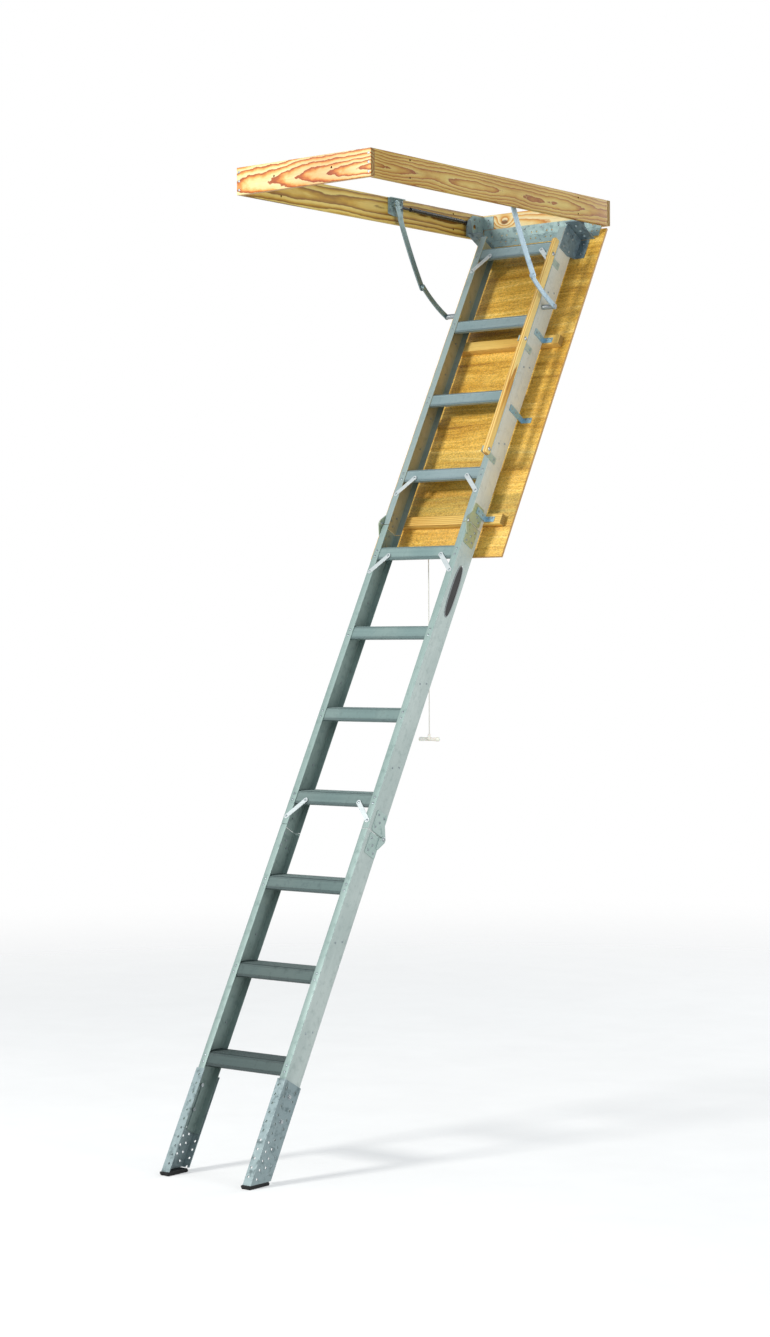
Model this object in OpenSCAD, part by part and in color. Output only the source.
// Folding attic ladder: wooden ceiling frame, plywood door, three aluminium
// ladder sections, power arms, gas struts, handrail and sliding feet.
// Origin: centre of the ceiling opening, on the underside of the frame.
// +X is the climber's right, +Y the hinge end of the opening, +Z is up.

/* [Ceiling frame] */
// Outside width of the wooden frame
frame_w = 560; // [556:1:600]
// Outside length of the wooden frame
frame_l = 1364; // [1360:1:1400]
// Height of the frame boards
board_h = 89.5; // [89:0.5:110]
// Thickness of the frame boards
board_t = 19; // [18.5:0.5:20]
// Radius of the lag screw holes through the boards
lag_r = 3.5; // [3:0.25:4]

/* [Ladder] */
// Slope of the open ladder above the floor, degrees
slope = 61.1; // [60.5:0.1:62]
// Ceiling height above the floor
ceiling_h = 3134; // [3110:1:3160]
// Outside width over the two rails
ladder_w = 366; // [364:0.5:368]
// Depth of a rail, front flange to back flange
rail_d = 78; // [77:0.5:79]
// Wall thickness of a rail
rail_t = 2.5; // [2.2:0.1:2.8]
// Width of a rail flange
flange_w = 26; // [24:0.5:27]
// Distance between treads along the rail
tread_pitch = 309.5; // [309:0.1:310]
// Distance from the rail datum to the first tread
tread_first = 94.5; // [94:0.5:95]
// Depth of a tread, front to back
tread_d = 81.6; // [80:0.2:81.8]

/* [Sections] */
// Top end of the upper rails along the slope
rail_top = 38; // [36:1:40]
// Joint between the upper and middle sections
joint_mid = 1240; // [1240:1:1241]
// Joint between the middle and lower sections
joint_low = 2384; // [2383:1:2384]
// Bottom end of the lower rails
rail_end = 3440; // [3420:1:3450]
// Distance of each fold pivot outside the rail edge
fold_out = 8; // [7.8:0.1:8.2]

/* [Door] */
// Thickness of the plywood door
door_t = 9; // [6:0.5:12]
// Thickness of the door battens
batten_t = 25.6; // [25.2:0.1:26]
// Length of the door from the hinge axis
door_len = 1342; // [1330:1:1346]

/* [Handrail] */
// Width of the handrail
handrail_w = 19; // [18:0.5:20]
// Depth of the handrail
handrail_d = 25; // [24:0.5:27]

/* [Arms and struts] */
// Pivot distance of the upper arm
upper_arm_l = 312; // [311:0.5:313]
// Pivot distance of the lower arm
lower_arm_l = 166; // [165.5:0.5:167]
// Radius of the gas strut cylinder
strut_r = 7.5; // [6.5:0.5:7.5]

/* [Feet] */
// Top end of the sliding shoes along the slope
shoe_top = 3246; // [3244:1:3250]
// Thickness of the rubber foot pad
pad_t = 12; // [8:1:14]

/* [Hidden] */
$fn = 40;

// ---- reference planes ----
// Ladder coordinates are x, down (along the slope) and out (towards the climber, square
// to the slope). The front of the rails is at out = 0. Points there are [down, out].
board_out_x = frame_w / 2;
board_in_x = board_out_x - board_t;
frame_end_y = frame_l / 2;            // outer face of the header
header_y = frame_end_y - board_t;     // inner face of the header
hinge_axis = [header_y - 1, -4];      // door hinge, y and z
hinge_down = -23.8;
door_out = -(rail_d + batten_t);      // attic face of the door, in line with the hinge axis
slope_cos = cos(slope);
slope_sin = sin(slope);
datum_y = hinge_axis[0] + hinge_down * slope_cos + door_out * slope_sin;
datum_z = hinge_axis[1] + hinge_down * slope_sin - door_out * slope_cos;
rail_x = ladder_w / 2;                // outer face of a rail web
rail_mid = -rail_d / 2;
flange_x = rail_x - flange_w / 2;     // middle of a rail flange

rivet_hole_r = 2.5;
pilot_r = 2;
clear_r = 2.1;                        // clearance hole of a wood screw
door_pilot_r = 1.6;

// [y, z] of a ladder point
function side_point(p) = [datum_y - p[0] * slope_cos - p[1] * slope_sin,
                          datum_z - p[0] * slope_sin + p[1] * slope_cos];
function heading(from, to) = atan2(to[1] - from[1], to[0] - from[0]);

// ---- sections: upper 0, middle 1, lower 2 ----
section_treads = [[0, 1, 2, 3], [4, 5, 6, 7], [8, 9, 10]];
section_webs = [[1, 2, 3], [5, 6, 7], [9, 10]];   // treads with a pair of web rivets
section_braces = [[0, 3], [4, 7], []];            // treads with knee braces
section_top = [rail_top, joint_mid + 1, joint_low + 1];
section_end = [joint_mid - 1, joint_low - 1, rail_end];
function tread_down(i) = tread_first + tread_pitch * i;

// ---- helpers ----
// inside, Y = -out and Z = -down
module on_ladder() translate([0, datum_y, datum_z]) rotate([slope - 90, 0, 0]) children();
module left() mirror([1, 0, 0]) children();
module both_sides() {
  children();
  left() children();
}
module both_ends() {
  children();
  mirror([0, 1, 0]) children();
}
module flip(on, axis) {
  if (on) mirror(axis) children();
  else children();
}
// turns local +Z to +X (way = 1) or -X (way = -1), at p = [y, z]
module face_x(x, p, way = 1) translate([x, p[0], p[1]]) rotate([0, 90 * way, 0]) children();
module x_cyl(xs, p, r) face_x(xs[0], p) cylinder(h = xs[1] - xs[0], r = r);
module y_cyl(x, ys, z, r)
  translate([x, ys[0], z]) rotate([-90, 0, 0]) cylinder(h = ys[1] - ys[0], r = r);
// extrudes a [y, z] outline along X
module extrude_x(xs)
  translate([xs[0], 0, 0]) rotate([90, 0, 90]) linear_extrude(xs[1] - xs[0]) children();
// ladder coordinates: local +Z turned across the ladder (+X) or out of it
module across(x, p) face_x(x, [-p[1], -p[0]]) children();
module outward(x, down, out) translate([x, -out, -down]) rotate([90, 0, 0]) children();
module slope_box(xs, downs, outs) translate([xs[0], -outs[1], -downs[1]])
  cube([xs[1] - xs[0], outs[1] - outs[0], downs[1] - downs[0]]);
module across_cyl(xs, p, r) across(xs[0], p) cylinder(h = xs[1] - xs[0], r = r);
module out_cyl(x, down, outs, r) outward(x, down, outs[0]) cylinder(h = outs[1] - outs[0], r = r);

module dome(r, h) rotate_extrude()
  polygon(concat([[0, 0]], [for (i = [0:4]) [r * cos(i * 22.5), h * sin(i * 22.5)]]));
// rivet along +Z: dome above z = 0, shank through a grip, set tail behind
module rivet(grip, r = 4.4) {
  dome(r, 2);
  translate([0, 0, -grip - 0.5]) cylinder(h = grip + 0.6, r = 2.4);
  translate([0, 0, -grip - 1.7]) cylinder(h = 1.7, r = 3.7);
}
// wood screw along +Z, cross-slotted pan head above z = 0
module screw(length, shank_r = 1.9, head_r = 4) {
  difference() {
    dome(head_r, 2.4);
    translate([-3, -0.5, 1.2]) cube([6, 1, 3]);
    translate([-0.5, -3, 1.2]) cube([1, 6, 3]);
  }
  translate([0, 0, -length + 2]) cylinder(h = length - 1.9, r = shank_r);
  translate([0, 0, -length]) cylinder(h = 2, r1 = 0.4, r2 = shank_r);
}
// countersunk screw, head at z = 0 and shank along +Z
module countersunk_screw() {
  cylinder(h = 44, r = 1.9);
  difference() {
    cylinder(h = 2.2, r1 = 4.2, r2 = 1.9);
    translate([-2.6, -0.4, -0.1]) cube([5.2, 0.8, 0.9]);
    translate([-0.4, -2.6, -0.1]) cube([0.8, 5.2, 0.9]);
  }
}

// ---- arm and strut geometry in the side view, [y, z] ----
arm_pivot = [header_y - 543, 66];
strut_pivot = [header_y - 509, 59];
stud = [365, -20];                    // arm stud on the upper rail, [down, out]
lug = [-19.7, 19.7];                  // strut lug of the top bracket, [down, out]
stud_side = side_point(stud);
lug_side = side_point(lug);
arm_gap = norm(stud_side - arm_pivot);
upper_arm_angle = heading(arm_pivot, stud_side)
  - acos((upper_arm_l * upper_arm_l + arm_gap * arm_gap - lower_arm_l * lower_arm_l)
         / (2 * upper_arm_l * arm_gap));
elbow = arm_pivot + upper_arm_l * [cos(upper_arm_angle), sin(upper_arm_angle)];
lower_arm_angle = heading(elbow, stud_side);
strut_len = norm(lug_side - strut_pivot);
strut_angle = heading(strut_pivot, lug_side);
upper_arm_x = [board_in_x - 22.5, board_in_x - 18.5];
lower_arm_x = [board_in_x - 29.5, board_in_x - 25.5];

// ---- wooden frame ----
side_lag_y = 480;
side_lag_z = [20, 76];
end_lag_x = 120;
corner_x = board_in_x + board_t / 2;
corner_z = [16, 45, 74];
// screw holes in the side boards, [y, z]
bracket_holes = [[arm_pivot[0] - 14, 40], [arm_pivot[0] - 14, 78],
                 [strut_pivot[0] + 18, 36], [strut_pivot[0] + 18, 80]];
plate_holes = [[header_y - 88, 18], [header_y - 88, 44], [header_y - 24, 18], [header_y - 24, 68]];
// screws of the corner plates and hinge leaf into the header
plate_header_x = board_in_x - 26;
plate_header_z = [50, 72];
leaf_screw_x = [for (i = [-3:3]) i * 74];
leaf_screw_z = 24;

module side_board() difference() {
  translate([board_in_x, -header_y, 0]) cube([board_t, 2 * header_y, board_h]);
  for (y = [-side_lag_y, side_lag_y], z = side_lag_z)
    x_cyl([board_in_x - 1, board_out_x + 1], [y, z], lag_r);
  both_ends() for (z = corner_z) y_cyl(corner_x, [header_y - 32, header_y + 1], z, pilot_r);
  for (p = concat(bracket_holes, plate_holes))
    x_cyl([board_in_x - 1, board_in_x + 15], p, pilot_r);
}
module side_board_left() color("#c2a04e") left() side_board();
module side_board_right() color("#c79b5b") side_board();

// board across the +Y end, with countersunk corner holes and two lag holes
module end_board(lag_z) difference() {
  translate([-board_out_x, header_y, 0]) cube([frame_w, board_t, board_h]);
  both_sides() {
    for (z = corner_z) {
      y_cyl(corner_x, [header_y - 1, frame_end_y + 1], z, clear_r);
      translate([corner_x, frame_end_y - 2.5, z]) rotate([-90, 0, 0])
        cylinder(h = 2.6, r1 = clear_r, r2 = 4.4);
    }
    y_cyl(end_lag_x, [header_y - 1, frame_end_y + 1], lag_z, lag_r);
  }
}
module header_board() color("#f0c98a") difference() {
  end_board(lag_z = 62);
  for (x = leaf_screw_x) y_cyl(x, [header_y - 1, header_y + 14], leaf_screw_z, pilot_r);
  both_sides() for (z = plate_header_z)
    y_cyl(plate_header_x, [header_y - 1, header_y + 14], z, pilot_r);
}
module front_board() color("#d98a4a") mirror([0, 1, 0]) end_board(lag_z = 45);

bracket_t = 3;
corner_plate_t = 2.5;
leaf_t = 1.8;
module frame_screws() color("#9aa3a8") {
  both_sides() {
    both_ends() for (z = corner_z)
      translate([corner_x, -frame_end_y + 0.1, z]) rotate([-90, 0, 0]) countersunk_screw();
    for (p = bracket_holes) face_x(board_in_x - bracket_t, p, -1) screw(16);
    for (p = plate_holes) face_x(board_in_x - corner_plate_t, p, -1) screw(15);
    for (z = plate_header_z)
      translate([plate_header_x, header_y - corner_plate_t, z]) rotate([90, 0, 0]) screw(15);
  }
  for (x = leaf_screw_x)
    translate([x, header_y - leaf_t, leaf_screw_z]) rotate([90, 0, 0]) screw(14);
}

// ---- header hinge ----
knuckle_n = 17;
knuckle_l = 30;
knuckle_gap = 0.2;                    // at each end of a knuckle
knuckle_r = 3.6;
pin_r = 1.8;
leaf_w = knuckle_n * knuckle_l;
leaf_half = leaf_w / 2;
leaf_screw_down = hinge_down + 22;
leaf_hole_x = [for (i = [-11:11]) if (i % 3 != 0) i * 22];
leaf_hole_r = 3;
function knuckle_x(i) = [-leaf_half + i * knuckle_l + knuckle_gap,
                         -leaf_half + (i + 1) * knuckle_l - knuckle_gap];
header_knuckles = [0:2:knuckle_n - 1];
door_knuckles = [1:2:knuckle_n - 1];

module pin_bore() x_cyl([-leaf_half - 1, leaf_half + 1], hinge_axis, pin_r + 0.05);
module header_hinge_leaf() color("#8fa3ab") difference() {
  union() {
    translate([-leaf_half, header_y - leaf_t, -0.15]) cube([leaf_w, leaf_t, 36.15]);
    for (i = header_knuckles) {
      translate([knuckle_x(i)[0], header_y - leaf_t, hinge_axis[1]])
        cube([knuckle_l - 2 * knuckle_gap, leaf_t, 5]);
      x_cyl(knuckle_x(i), hinge_axis, knuckle_r);
    }
  }
  pin_bore();
  for (x = leaf_screw_x) y_cyl(x, [header_y - 3, header_y + 1], leaf_screw_z, clear_r);
  for (x = leaf_hole_x) y_cyl(x, [header_y - 3, header_y + 1], 10, leaf_hole_r);
}
module hinge_pin() color("#b8bec2") {
  x_cyl([-leaf_half - 0.2, leaf_half + 0.2], hinge_axis, pin_r);
  both_sides() x_cyl([leaf_half + 0.2, leaf_half + 1.6], hinge_axis, 2.9);
}
module door_hinge_leaf() color("#8fa3ab") difference() {
  union() {
    on_ladder() {
      slope_box([-leaf_half, leaf_half], [hinge_down + 4.2, hinge_down + 34],
                [door_out, door_out + leaf_t]);
      for (i = door_knuckles)
        slope_box(knuckle_x(i), [hinge_down + 2.4, hinge_down + 5], [door_out, door_out + leaf_t]);
    }
    for (i = door_knuckles) x_cyl(knuckle_x(i), hinge_axis, knuckle_r);
  }
  pin_bore();
  on_ladder() {
    for (x = leaf_screw_x) out_cyl(x, leaf_screw_down, [door_out - 1, door_out + 3], clear_r);
    for (x = leaf_hole_x) out_cyl(x, hinge_down + 12, [door_out - 1, door_out + 3], leaf_hole_r);
  }
}

// ---- fixed steel plates ----
corner_plate_holes = [[43, 9], [20, 3], [68, 3]];   // z, radius
module corner_plate() difference() {
  union() {
    extrude_x([board_in_x - corner_plate_t, board_in_x]) polygon([
      [header_y - 106, 4], [header_y - 2.5, 4], [header_y - 2.5, 84],
      [header_y - 66, 84], [header_y - 106, 56]]);
    translate([board_in_x - 48, header_y - corner_plate_t, 38]) cube([48, corner_plate_t, 46]);
  }
  for (p = plate_holes) x_cyl([board_in_x - 4, board_in_x + 1], p, clear_r);
  for (z = plate_header_z) y_cyl(plate_header_x, [header_y - 4, header_y + 1], z, clear_r);
  for (h = corner_plate_holes) x_cyl([board_in_x - 4, board_in_x + 1], [header_y - 56, h[0]], h[1]);
}
module corner_plate_left() color("#93a8b0") left() corner_plate();
module corner_plate_right() color("#93a8b0") corner_plate();

bracket_y = [arm_pivot[0] - 24, strut_pivot[0] + 26];
module arm_bracket() {
  root_x = board_in_x - 2.5;          // studs end inside the plate
  difference() {
    union() {
      extrude_x([board_in_x - bracket_t, board_in_x]) polygon([
        [bracket_y[0], 32], [arm_pivot[0] + 8, 26], [bracket_y[1], 26],
        [bracket_y[1], 89], [bracket_y[0], 89]]);
      translate([board_in_x - 14, bracket_y[0], 86])
        cube([14, bracket_y[1] - bracket_y[0], bracket_t]);
    }
    for (p = bracket_holes) x_cyl([board_in_x - 4, board_in_x + 1], p, clear_r);
  }
  // arm stud: pin, head and spacer
  x_cyl([upper_arm_x[0] - 0.1, root_x], arm_pivot, 5);
  x_cyl([upper_arm_x[0] - 2.8, upper_arm_x[0] - 0.08], arm_pivot, 8.5);
  x_cyl([upper_arm_x[1] + 0.1, root_x], arm_pivot, 8);
  // strut stud: pin, head and collar
  x_cyl([board_in_x - 13.1, root_x], strut_pivot, 3.9);
  x_cyl([board_in_x - 15, board_in_x - 13.08], strut_pivot, 6.4);
  x_cyl([board_in_x - 3.9, root_x], strut_pivot, 6);
}
module arm_bracket_left() color("#8ea1a8") left() arm_bracket();
module arm_bracket_right() color("#8ea1a8") arm_bracket();

// ---- door ----
batten_top = [443, 1165];             // upper edges along the slope
batten_w = 38;
batten_half = 250;
batten_mid = [for (top = batten_top) top + batten_w / 2];
batten_screw_x = [-225, -75, 75, 225];
clip_down = [batten_mid[0], 775, batten_mid[1]];
clip_screw_x = [rail_x + 16, rail_x + 32];
top_screw_x = rail_x + 22;            // top bracket screws
top_screw_down = [44, 88];
eye_x = -50;
eye_ring = [1290, door_out - door_t - 11];
door_under = door_out - door_t;

module door_panel() color("#dda552") on_ladder() difference() {
  slope_box([-board_out_x, board_out_x], [hinge_down + 4.6, hinge_down + door_len],
            [door_under, door_out]);
  for (x = leaf_screw_x)
    out_cyl(x, leaf_screw_down, [door_out - 7.5, door_out + 1], door_pilot_r);
  both_sides() {
    for (x = clip_screw_x) out_cyl(x, clip_down[1], [door_out - 8, door_out + 1], door_pilot_r);
    for (down = top_screw_down)
      out_cyl(top_screw_x, down, [door_out - 8, door_out + 1], door_pilot_r);
  }
  out_cyl(eye_x, eye_ring[0], [door_under - 1, door_out - 1.5], door_pilot_r);
  for (down = batten_mid, x = batten_screw_x)
    out_cyl(x, down, [door_out - 10, door_out + 1], clear_r);
}
module door_battens() color("#d9a45c") on_ladder() for (i = [0, 1]) difference() {
  slope_box([-batten_half, batten_half], [batten_top[i], batten_top[i] + batten_w],
            [door_out, door_out + batten_t]);
  for (x = batten_screw_x) out_cyl(x, batten_mid[i], [door_out - 1, door_out + 16], clear_r);
  both_sides() for (x = clip_screw_x)
    out_cyl(x, batten_mid[i], [door_out + 8, door_out + batten_t + 1], clear_r);
}
module door_screws() color("#9aa3a8") on_ladder() {
  for (x = leaf_screw_x) outward(x, leaf_screw_down, door_out + leaf_t) screw(9, 1.5, 3.6);
  both_sides() {
    for (x = clip_screw_x) {
      outward(x, clip_down[1], door_out + 2.5) screw(10, 1.5, 3.6);
      for (down = batten_mid) outward(x, down, door_out + batten_t + 2.5) screw(18, 1.9, 3.8);
    }
    for (down = top_screw_down) outward(top_screw_x, down, door_out + 3) screw(10.5, 1.5, 3.8);
  }
  // through the door into the battens, heads on the room side
  for (down = batten_mid, x = batten_screw_x)
    translate([x, -door_under, -down]) rotate([-90, 0, 0]) screw(23);
}
module cord_eye() color("#c3c8cb") on_ladder() {
  out_cyl(eye_x, eye_ring[0], [door_under - 6, door_out - 2], 1.5);
  across(eye_x, eye_ring) rotate_extrude() translate([5.6, 0]) circle(r = 1.4);
}

// clip from the rail web to a foot that lies `reach` behind the rail
clip_t = 2.5;
function clip_rivets(down) = [[down, -30], [down + 1, -54]];
module rail_clip(down, reach, lift = 0) difference() {
  foot_out = -rail_d - reach;
  union() {
    extrude_x([rail_x + lift, rail_x + lift + clip_t]) polygon([
      [20, 12 - down], [42, 12 - down], [-foot_out, 6 - down],
      [-foot_out, -14 - down], [42, -12 - down], [20, -12 - down]]);
    slope_box([rail_x + lift, rail_x + 40], [down - 6, down + 14], [foot_out, foot_out + clip_t]);
  }
  for (p = clip_rivets(down)) across_cyl([rail_x - 1, rail_x + 6], p, rivet_hole_r);
  for (x = clip_screw_x) out_cyl(x, down, [foot_out - 1, foot_out + 4], clear_r);
}
module rail_clips() color("#6f97ad") on_ladder() both_sides() {
  rail_clip(clip_down[0], reach = 0);
  rail_clip(clip_down[1], reach = batten_t);
  rail_clip(clip_down[2], reach = 0, lift = 2.5);   // lies over the hinge plate
}

// ---- top brackets ----
top_rivets = [[52, -22], [104, -22], [52, -58], [104, -58]];   // down, out
top_bracket_t = 3;
module top_bracket() on_ladder() {
  lug_x = [board_in_x - 20.5, board_in_x - 17.5];
  difference() {
    union() {
      extrude_x([rail_x, rail_x + top_bracket_t]) polygon([
        [4, -40], [4, -122], [60, -122], [-door_out, -104], [-door_out, -22], [4, -22]]);
      slope_box([rail_x, lug_x[1]], [22, 25], [door_out + 3, 8]);
      slope_box([rail_x, rail_x + 40], [26, 104], [door_out, door_out + top_bracket_t]);
      extrude_x(lug_x) polygon([
        [-8, -22], [-8, -25], [-26, -2], [-30, -lug[0]], [-10, -lug[0] + 4], [30, -22]]);
      across_cyl(lug_x, lug, 10);
    }
    for (p = top_rivets) across_cyl([rail_x - 1, rail_x + 4], p, rivet_hole_r);
    for (down = top_screw_down)
      out_cyl(top_screw_x, down, [door_out - 1, door_out + 4], clear_r);
    for (out = [-80, -50, -20]) translate([rail_x + 30, -out, -26]) cylinder(h = 5, r = 5);
  }
  across_cyl([board_in_x - 18, board_in_x - 13.5], lug, 4);
  across_cyl([board_in_x - 17.6, board_in_x - 16], lug, 7);
}
module top_bracket_left() color("#5f7480") left() top_bracket();
module top_bracket_right() color("#5f7480") top_bracket();

// ---- fold joints: upper to middle 0, at the front; middle to lower 1, at the back ----
UPPER_FOLD = 0;
LOWER_FOLD = 1;
fold_pivot = [[joint_mid, fold_out], [joint_low, -rail_d - fold_out]];   // down, out
// hinge plate rivets: distance from the joint, distance in from the pivot side edge
upper_plate = [[20, 48], [34, 33]];
middle_plate = [[62, 18], [58, 48], [20, 48], [40, 33]];
lower_plate = [[62, 18], [62, 48], [20, 48], [40, 33]];
// the table above and the table below each joint
fold_tables = [[upper_plate, middle_plate], [lower_plate, lower_plate]];
function plate_rivets(fold, below) = [
  for (p = fold_tables[fold][below ? 1 : 0])
    [fold_pivot[fold][0] + (below ? p[0] : -p[0]), fold == UPPER_FOLD ? -p[1] : p[1] - rail_d]];
section_plate_rivets = [
  plate_rivets(UPPER_FOLD, false),
  concat(plate_rivets(UPPER_FOLD, true), plate_rivets(LOWER_FOLD, false)),
  plate_rivets(LOWER_FOLD, true)];

// ---- rails ----
tread_rivet_down = [12, 34];          // rivet rows below the front edge of a tread
brace_down = 95;                      // brace rivet in the flange, below the tread edge
brace_inset = 58;                     // from there inwards to the rivet in the tread lip
badge_tread = 5;                      // the badge replaces this pair of web rivets, right side
handrail_down = [188, 540, 985];      // bracket places
handrail_rivet_out = -22;
shoe_bolt_down = [3290, 3372];
// the two web rivets above tread i
function web_rivets(i) =
  let (down = tread_down(i) - 112.9)
  [[down - 8.45, rail_mid - 15.3], [down + 8.45, rail_mid + 15.3]];

module web_hole(p, r = rivet_hole_r) across_cyl([rail_x - 4, rail_x + 1], p, r);
module flange_hole(down) out_cyl(flange_x, down, [-rail_t - 1, 1], rivet_hole_r);
module rail(section, right) on_ladder() difference() {
  downs = [section_top[section], section_end[section]];
  union() {
    slope_box([rail_x - rail_t, rail_x], downs, [-rail_d, 0]);
    slope_box([rail_x - flange_w, rail_x], downs, [-rail_t, 0]);
    slope_box([rail_x - flange_w, rail_x], downs, [-rail_d, -rail_d + rail_t]);
  }
  for (i = section_treads[section], row = tread_rivet_down) flange_hole(tread_down(i) + row);
  for (i = section_braces[section]) flange_hole(tread_down(i) + brace_down);
  for (i = section_webs[section], p = web_rivets(i))
    if (!(right && i == badge_tread)) web_hole(p);
  for (p = section_plate_rivets[section]) web_hole(p);
  if (section == 0) {
    for (p = top_rivets) web_hole(p);
    for (down = clip_down, p = clip_rivets(down)) web_hole(p);
    web_hole(stud, 5.1);
    if (right) for (down = handrail_down) web_hole([down, handrail_rivet_out]);
  }
  // slots for the sliding shoes
  if (section == 2) for (down = shoe_bolt_down)
    slope_box([rail_x - 4, rail_x + 1], [down - 5, down + 64], [rail_mid - 3.2, rail_mid + 3.2]);
}
module upper_rail_left() color("#a9b2b6") left() rail(0, right = false);
module upper_rail_right() color("#a9b2b6") rail(0, right = true);
module middle_rail_left() color("#a9b2b6") left() rail(1, right = false);
module middle_rail_right() color("#a9b2b6") rail(1, right = true);
module lower_rail_left() color("#a9b2b6") left() rail(2, right = false);
module lower_rail_right() color("#a9b2b6") rail(2, right = true);

// ---- treads ----
tread_half = rail_x - rail_t - 0.15;
// side view point, level distance back and drop from the front top edge of tread i
function tread_point(i, back, drop) = [
  rail_t + back * slope_sin + drop * slope_cos,
  -(tread_down(i) - back * slope_cos + drop * slope_sin)];
module tread_strip(i, backs, drops) polygon([
  tread_point(i, backs[0], drops[0]), tread_point(i, backs[1], drops[0]),
  tread_point(i, backs[1], drops[1]), tread_point(i, backs[0], drops[1])]);
module tread(i) difference() {
  down = tread_down(i);
  rear = tread_point(i, tread_d, 0);
  extrude_x([-tread_half, tread_half]) {
    tread_strip(i, [0, tread_d], [0, 2.4]);
    for (j = [0:6]) tread_strip(i, [7 + j * 11, 11 + j * 11], [-1.1, 1]);
    // front lip and its return
    polygon([[rail_t, -down], [rail_t + 2.5, -down - 0.5],
             [rail_t + 2.5, -(down + 45)], [rail_t, -(down + 45)]]);
    polygon([[rail_t + 1, -(down + 45)], [rail_t + 10, -(down + 45)],
             [rail_t + 10, -(down + 42.8)], [rail_t + 1, -(down + 42.8)]]);
    // rear lip
    polygon([tread_point(i, tread_d - 2.5, 0.2), tread_point(i, tread_d, 0.2),
             [rear[0], rear[1] - 26], [rear[0] - 2.2, rear[1] - 26]]);
  }
  both_sides() {
    for (row = tread_rivet_down)
      out_cyl(flange_x, down + row, [-rail_t - 4, 0], rivet_hole_r);
    for (braced = concat(section_braces[0], section_braces[1])) if (braced == i)
      out_cyl(flange_x - brace_inset, down + tread_rivet_down[1], [-rail_t - 4, 0], rivet_hole_r);
  }
}
module treads(section) on_ladder() for (i = section_treads[section]) tread(i);
module upper_treads() color("#b3bcc1") treads(0);
module middle_treads() color("#b3bcc1") treads(1);
module lower_treads() color("#b3bcc1") treads(2);

// ---- knee braces: diagonal straps from tread lip to rail flange ----
module brace(i) difference() {
  lip_x = flange_x - brace_inset;
  lip_down = tread_down(i) + tread_rivet_down[1];
  flange_down = tread_down(i) + brace_down;
  rise = flange_down - lip_down;
  length = norm([brace_inset, rise]);
  outward(lip_x, lip_down, 0) {
    linear_extrude(2) {
      circle(r = 8.4);
      rotate(-atan2(rise, brace_inset)) {
        translate([0, -8]) square([length, 16]);
        translate([length, 0]) circle(r = 8.4);
      }
    }
    // spacer from the strap back to the lip
    translate([0, 0, -rail_t]) cylinder(h = rail_t + 0.5, r = 7);
  }
  out_cyl(flange_x, flange_down, [-1, 3], rivet_hole_r);
  out_cyl(lip_x, lip_down, [-rail_t - 1, 3], rivet_hole_r);
}
module braces(section) on_ladder() both_sides() for (i = section_braces[section]) brace(i);
module upper_braces() color("#c9d0d3") braces(0);
module middle_braces() color("#c9d0d3") braces(1);

// ---- fold hinges ----
fold_plate_t = 2.5;
// places an outline drawn as [in from the pivot side edge, away from the joint]
module at_fold(fold, below)
  translate([fold == UPPER_FOLD ? 0 : rail_d, -fold_pivot[fold][0]])
    flip(fold != UPPER_FOLD, [1, 0, 0]) flip(below, [0, 1, 0]) children();
module ear_outline() {
  translate([-fold_out, 0]) circle(r = 10.4);
  polygon([[-fold_out - 10.4, 0], [-fold_out - 10.4, 8], [3.3, 42], [14, 42],
           [14, 3], [3.3, 3], [0, 0]]);
}
module plate_outline()
  polygon([[3.3, 3], [3.3, 70], [8, 76], [56, 76], [60, 70], [60, 8], [54, 3]]);
module plate_cuts(fold, below, pin_hole_r) {
  across_cyl([rail_x - 2, rail_x + 8], fold_pivot[fold], pin_hole_r);
  for (p = plate_rivets(fold, below)) across_cyl([rail_x - 1, rail_x + 6], p, rivet_hole_r);
}
module plate_above(fold) on_ladder() difference() {
  extrude_x([rail_x, rail_x + fold_plate_t]) at_fold(fold, false) {
    ear_outline();
    plate_outline();
  }
  plate_cuts(fold, false, 4.02);
  if (fold == UPPER_FOLD) for (p = clip_rivets(clip_down[2]))
    across_cyl([rail_x - 1, rail_x + 6], p, rivet_hole_r);
}
// the ear lies outside the ear of the plate above
module plate_below(fold) on_ladder() difference() {
  union() {
    extrude_x([rail_x, rail_x + fold_plate_t]) at_fold(fold, true) plate_outline();
    extrude_x([rail_x + 2.6, rail_x + 5.1]) at_fold(fold, true) ear_outline();
    extrude_x([rail_x + 2.4, rail_x + 2.7]) at_fold(fold, true)
      polygon([[3.4, 4], [3.4, 41], [13.9, 41], [13.9, 4]]);
  }
  plate_cuts(fold, true, 4.06);
}
module fold_pin(fold) on_ladder() {
  across_cyl([rail_x - 0.05, rail_x + 5.2], fold_pivot[fold], 4);
  across_cyl([rail_x - 2.2, rail_x], fold_pivot[fold], 5.8);
  across(rail_x + 5.16, fold_pivot[fold]) dome(7, 3);
}
module upper_hinge_plates() color("#9fa9ad") both_sides() plate_above(UPPER_FOLD);
module upper_hinge_pins() color("#c3c8cb") both_sides() fold_pin(UPPER_FOLD);
module middle_top_plates() color("#9fa9ad") both_sides() plate_below(UPPER_FOLD);
module middle_bottom_plates() color("#9fa9ad") both_sides() plate_above(LOWER_FOLD);
module middle_hinge_pins() color("#c3c8cb") both_sides() fold_pin(LOWER_FOLD);
module lower_hinge_plates() color("#9fa9ad") both_sides() plate_below(LOWER_FOLD);

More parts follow.
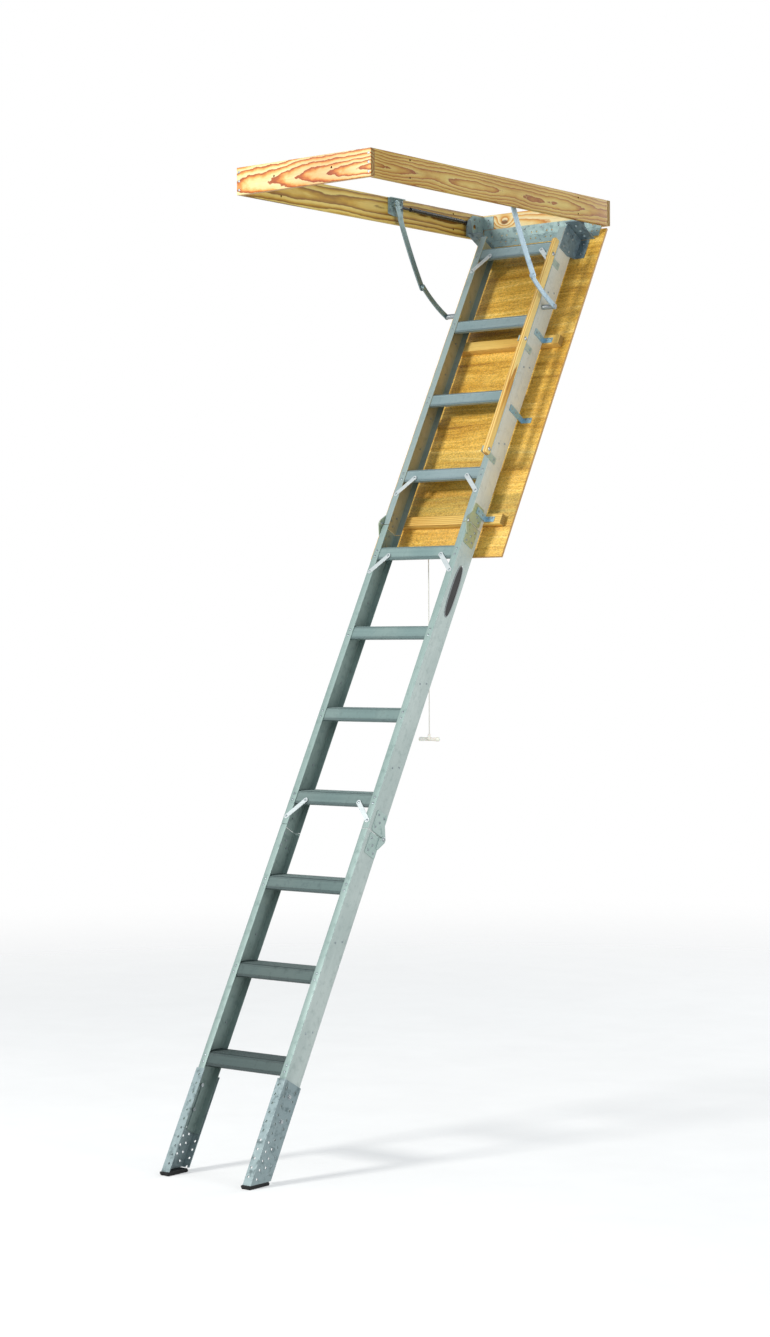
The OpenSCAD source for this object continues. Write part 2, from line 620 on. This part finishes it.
// ---- rivets ----
// through the web, under a part of thickness cover
module web_rivet(p, cover, r = 4.4) across(rail_x + cover, p) rivet(rail_t + cover, r);
module section_rivets(section) {
  for (i = section_treads[section], row = tread_rivet_down)
    outward(flange_x, tread_down(i) + row, 0) rivet(rail_t + 2.5);
  for (i = section_braces[section]) {
    outward(flange_x, tread_down(i) + brace_down, 2) rivet(rail_t + 2);
    outward(flange_x - brace_inset, tread_down(i) + tread_rivet_down[1], 2) rivet(rail_t + 4.5);
  }
  for (i = section_webs[section], p = web_rivets(i)) if (i != badge_tread) web_rivet(p, 0, 3.6);
  for (p = section_plate_rivets[section]) web_rivet(p, fold_plate_t);
}
module upper_rivets() color("#d5d9db") on_ladder() {
  both_sides() {
    section_rivets(0);
    for (p = top_rivets) web_rivet(p, top_bracket_t);
    for (i = [0:2], p = clip_rivets(clip_down[i])) web_rivet(p, i == 2 ? 5 : clip_t, 3.8);
  }
  for (down = handrail_down) web_rivet([down, handrail_rivet_out], 2.5, 3.8);
}
module middle_rivets() color("#d5d9db") on_ladder() {
  both_sides() section_rivets(1);
  left() for (p = web_rivets(badge_tread)) web_rivet(p, 0, 3.6);
}
module lower_rivets() color("#d5d9db") on_ladder() both_sides() section_rivets(2);

// ---- arm studs on the upper rails ----
module arm_studs() color("#aab3b7") on_ladder() both_sides() {
  across_cyl([rail_x, lower_arm_x[0] - 0.1], stud, 9);
  across_cyl([rail_x - rail_t - 0.1, rail_x + 1], stud, 5);
  across_cyl([rail_x - rail_t - 6, rail_x - rail_t], stud, 7.5);
  across_cyl([lower_arm_x[0] - 0.2, lower_arm_x[1] + 0.2], stud, 5);
  across_cyl([lower_arm_x[1] + 0.1, lower_arm_x[1] + 2], stud, 8.5);
}

// ---- handrail on the right rail ----
handrail_x = [rail_x + 8.4, rail_x + 8.4 + handrail_w];
handrail_top = 124;
handrail_end = 1004;
handrail_back = 33;                   // back face, in front of the rail flange
handrail_mid = handrail_back + handrail_d / 2;
handrail_edge = 5;                    // end chamfer
module handrail() color("#d8a85e") on_ladder() difference() {
  extrude_x(handrail_x) translate([-handrail_back, 0]) polygon([
    [0, -(handrail_top + handrail_edge)], [-handrail_edge, -handrail_top],
    [-handrail_d + handrail_edge, -handrail_top], [-handrail_d, -(handrail_top + handrail_edge)],
    [-handrail_d, -(handrail_end - handrail_edge)], [-handrail_d + handrail_edge, -handrail_end],
    [-handrail_edge, -handrail_end], [0, -(handrail_end - handrail_edge)]]);
  for (down = handrail_down)
    across_cyl([handrail_x[0] - 1, handrail_x[1] + 1], [down, handrail_mid], 3.1);
}
module handrail_brackets() color("#9aa7ad") on_ladder() for (down = handrail_down) difference() {
  front = handrail_back + handrail_d;
  union() {
    slope_box([rail_x, rail_x + 2.5], [down - 12, down + 12], [-34, -1]);
    slope_box([rail_x + 1.3, rail_x + 3.3], [down - 12, down + 12], [-3, front - 4]);
    slope_box([rail_x + 3.2, handrail_x[0]], [down - 9, down + 9], [handrail_back + 3, front - 3]);
  }
  across_cyl([rail_x - 1, rail_x + 4], [down, handrail_rivet_out], rivet_hole_r);
  across_cyl([rail_x, handrail_x[0] + 1], [down, handrail_mid], 3.1);
}
module handrail_bolts() color("#c3c8cb") on_ladder() for (down = handrail_down) {
  across_cyl([rail_x + 1.3, handrail_x[1] + 0.1], [down, handrail_mid], 3);
  across(handrail_x[1], [down, handrail_mid]) dome(7.5, 3);
}

// ---- badge: plain oval plate, left blank ----
badge_down = 1489;
function squarish(c) = sign(c) * pow(abs(c), 0.8);
module badge() color("#1d1f22") on_ladder()
  translate([rail_x, -rail_mid, -badge_down]) rotate([90, 0, 90]) linear_extrude(0.8)
    polygon([for (i = [0:47]) [19 * squarish(cos(i * 7.5)), 98 * squarish(sin(i * 7.5))]]);

// ---- feet ----
floor_z = -ceiling_h;
shoe_t = 2.5;
shoe_gap = 0.3;                       // between the shoe and the rail
shoe_end = 3640;                      // before the cut at the top of the pad
shoe_hole_r = 4;
module foot_shoe() difference() {
  skin = shoe_gap + shoe_t;
  downs = [shoe_top, shoe_end];
  wall_x = [rail_x - 1, rail_x + 4];
  on_ladder() difference() {
    union() {
      slope_box([rail_x + shoe_gap, rail_x + skin], downs, [-rail_d - skin, skin]);
      slope_box([rail_x - 30, rail_x + skin], downs, [shoe_gap, skin]);
      slope_box([rail_x - 30, rail_x + skin], downs, [-rail_d - skin, -rail_d - shoe_gap]);
    }
    for (j = [0:10], out = [-62, -16])
      across_cyl(wall_x, [shoe_top + 22 + j * 30, out], shoe_hole_r);
    for (down = shoe_bolt_down) across_cyl(wall_x, [down, rail_mid], 3.05);
    for (j = [0:3]) across_cyl(wall_x, [3432 + j * 30, rail_mid], shoe_hole_r);
    for (j = [0:10]) {
      out_cyl(rail_x - 18, shoe_top + 22 + j * 30, [-1, 4], shoe_hole_r);
      out_cyl(rail_x - 18, shoe_top + 22 + j * 28, [-rail_d - 4, -rail_d + 1], shoe_hole_r);
    }
  }
  translate([-400, -2400, floor_z + pad_t - 400]) cube([800, 3000, 400]);
}
module foot_shoe_left() color("#8f979b") left() foot_shoe();
module foot_shoe_right() color("#8f979b") foot_shoe();

pad_y0 = side_point([(datum_z + ceiling_h) / slope_sin, 0])[0] - 2.5;
pad_y1 = pad_y0 + rail_d / slope_sin + 6;
module foot_pad() difference() {
  extrude_x([rail_x - 31, rail_x + 3.5]) polygon([
    [pad_y0 + 5, floor_z], [pad_y1 - 3, floor_z], [pad_y1, floor_z + 3],
    [pad_y1 - 3, floor_z + pad_t], [pad_y0 - 2, floor_z + pad_t], [pad_y0 - 1, floor_z + 6]]);
  // grooves in the sole
  for (j = [0:5]) translate([rail_x - 40, pad_y0 + 12 + j * 13, floor_z - 1]) cube([60, 4, 3]);
}
module foot_pad_left() color("#1b1c1e") left() foot_pad();
module foot_pad_right() color("#1b1c1e") foot_pad();

module foot_bolts() on_ladder() for (down = shoe_bolt_down) {
  across_cyl([rail_x - rail_t - 7, rail_x + 3], [down, rail_mid], 3);
  across(rail_x - rail_t - 6.2, [down, rail_mid]) cylinder(h = 5, r = 6.2, $fn = 6);
  across_cyl([rail_x + 2.8, rail_x + 4], [down, rail_mid], 7.5);
  across(rail_x + 4, [down, rail_mid]) cylinder(h = 4, r = 5.8, $fn = 6);
}
module foot_bolts_left() color("#c3c8cb") left() foot_bolts();
module foot_bolts_right() color("#c3c8cb") foot_bolts();

// ---- power arms ----
// point and unit normal of the parabolic centre line, t from 0 to 1
function bow_point(length, bow, t) = [length * t, 4 * bow * t * (1 - t)];
function bow_normal(length, bow, t) =
  let (run = [length, 4 * bow * (1 - 2 * t)])
  [-run[1], run[0]] / norm(run);
// curved flat bar from the origin to (length, 0), with pivot eyes
module bar_outline(length, width, bow) {
  steps = 20;
  polygon([for (side = [1, -1], i = side > 0 ? [0:steps] : [steps:-1:0])
    bow_point(length, bow, i / steps) + side * bow_normal(length, bow, i / steps) * width / 2]);
  circle(r = width / 2 + 0.6);
  translate([length, 0]) circle(r = width / 2 + 0.6);
}
module arm_bar(xs, start, angle, length, width, bow, bore) difference() {
  extrude_x(xs) translate(start) rotate(angle) bar_outline(length, width, bow);
  x_cyl([xs[0] - 1, xs[1] + 1], bore, 5.05);
}
module arm_upper() {
  arm_bar(upper_arm_x, arm_pivot, upper_arm_angle, upper_arm_l,
          width = 24, bow = -7, bore = arm_pivot);
  face_x(upper_arm_x[1] - 0.1, elbow) dome(8, 3);
}
module arm_upper_left() color("#9db3ba") left() arm_upper();
module arm_upper_right() color("#9db3ba") arm_upper();
module arm_lower() {
  arm_bar(lower_arm_x, elbow, lower_arm_angle, lower_arm_l,
          width = 19, bow = -6, bore = stud_side);
  x_cyl([lower_arm_x[1] - 0.1, upper_arm_x[0] - 0.5], elbow, 7.5);
  face_x(lower_arm_x[0] + 0.1, elbow, -1) dome(7.5, 3);
}
module arm_lower_left() color("#9db3ba") left() arm_lower();
module arm_lower_right() color("#9db3ba") arm_lower();

// ---- gas struts ----
// local +Y runs along the strut, from the frame stud to the lug
module along_strut() translate([board_in_x - 8.5, strut_pivot[0], strut_pivot[1]])
  rotate([strut_angle, 0, 0]) children();
module strut_eye(y) x_cyl([-4.5, 4.5], [y, 0], 8.5);
module strut_rod() along_strut() difference() {
  union() {
    strut_eye(0);
    translate([-4, 0, -6]) cube([8, 18, 12]);
    y_cyl(0, [10, 44], 0, 5.3);
    y_cyl(0, [40, 340], 0, 3.5);
    y_cyl(0, [338, 344], 0, 5.4);
  }
  x_cyl([-6, 6], [0, 0], 3.95);
}
module strut_rod_left() color("#2a2c2e") left() strut_rod();
module strut_rod_right() color("#2a2c2e") strut_rod();
module strut_cylinder() along_strut() difference() {
  union() {
    y_cyl(0, [60, strut_len - 26], 0, strut_r);
    y_cyl(0, [strut_len - 28, strut_len - 8], 0, 4.5);
    strut_eye(strut_len);
  }
  y_cyl(0, [68, strut_len - 36], 0, 5.5);
  y_cyl(0, [50, 80], 0, 3.56);
}
module strut_cylinder_left() color("#141518") left() strut_cylinder();
module strut_cylinder_right() color("#141518") strut_cylinder();

// ---- pull cord ----
cord_len = 630;
module below_eye(drop)
  translate([eye_x, side_point(eye_ring)[0], side_point(eye_ring)[1] - drop]) children();
module pull_cord() color("#d8d9d4") {
  below_eye(cord_len) cylinder(h = cord_len - 7, r = 1.6);
  below_eye(12) sphere(r = 4.2);
}
module pull_handle() color("#e9e9e4") below_eye(cord_len + 8) difference() {
  union() {
    x_cyl([-37, 37], [0, 0], 8);
    for (x = [37, -37]) translate([x, 0, 0]) sphere(r = 8);
    cylinder(h = 18, r1 = 8, r2 = 5);
  }
  cylinder(h = 40, r = 1.7);
}

side_board_left();
side_board_right();
header_board();
front_board();
frame_screws();
header_hinge_leaf();
hinge_pin();
corner_plate_left();
corner_plate_right();
arm_bracket_left();
arm_bracket_right();
door_panel();
door_battens();
door_hinge_leaf();
door_screws();
top_bracket_left();
top_bracket_right();
rail_clips();
upper_rail_left();
upper_rail_right();
upper_treads();
upper_rivets();
upper_braces();
handrail();
handrail_brackets();
handrail_bolts();
upper_hinge_plates();
upper_hinge_pins();
arm_studs();
cord_eye();
middle_rail_left();
middle_rail_right();
middle_treads();
middle_braces();
middle_rivets();
middle_top_plates();
middle_bottom_plates();
middle_hinge_pins();
badge();
lower_rail_left();
lower_rail_right();
lower_treads();
lower_rivets();
lower_hinge_plates();
foot_shoe_left();
foot_shoe_right();
foot_pad_left();
foot_pad_right();
foot_bolts_left();
foot_bolts_right();
arm_upper_left();
arm_upper_right();
arm_lower_left();
arm_lower_right();
strut_cylinder_left();
strut_cylinder_right();
strut_rod_left();
strut_rod_right();
pull_cord();
pull_handle();
